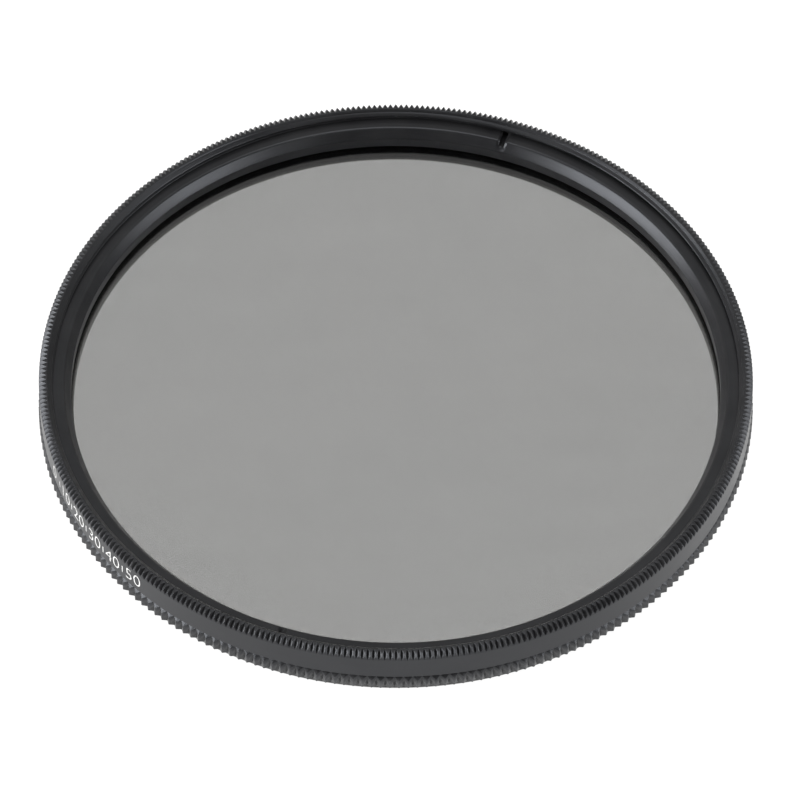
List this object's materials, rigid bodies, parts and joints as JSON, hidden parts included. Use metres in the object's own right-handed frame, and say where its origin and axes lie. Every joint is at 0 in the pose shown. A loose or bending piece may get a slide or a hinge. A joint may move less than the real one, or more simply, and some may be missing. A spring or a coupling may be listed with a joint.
{
  "type": "screw-in rotating polarising lens filter",
  "caption": "Slim round two-ring lens filter: knurled base ring with a rear thread, turning front ring and neutral grey polarising glass under a slotted retaining ring.",
  "frame": {"origin": "on the optical axis, at the end face of the rear thread", "axes": "+Z along the optical axis towards the subject, out of the front thread"},
  "size_m": [0.0796, 0.0796, 0.0071],
  "materials": {
    "black_anodised": "satin black anodised, turned and knurled",
    "spring_steel": "drawn spring wire",
    "neutral_glass": "polished optical glass",
    "polarising_sheet": "neutral grey stretched film",
    "retarder_sheet": "clear film"
  },
  "bodies": {
    "base": {"base_ring": "black_anodised", "snap_wire": "spring_steel"},
    "rotor": {"front_ring": "black_anodised", "retaining_ring": "black_anodised", "front_glass": "neutral_glass", "polarising_film": "polarising_sheet", "quarter_wave_film": "retarder_sheet", "rear_glass": "neutral_glass"}
  },
  "joints": [
    {"name": "front_ring_turn", "type": "hinge", "parent": "base", "child": "rotor", "pos_m": [0, 0, 0.0033], "axis": [0, 0, 1], "continuous": true}
  ]
}
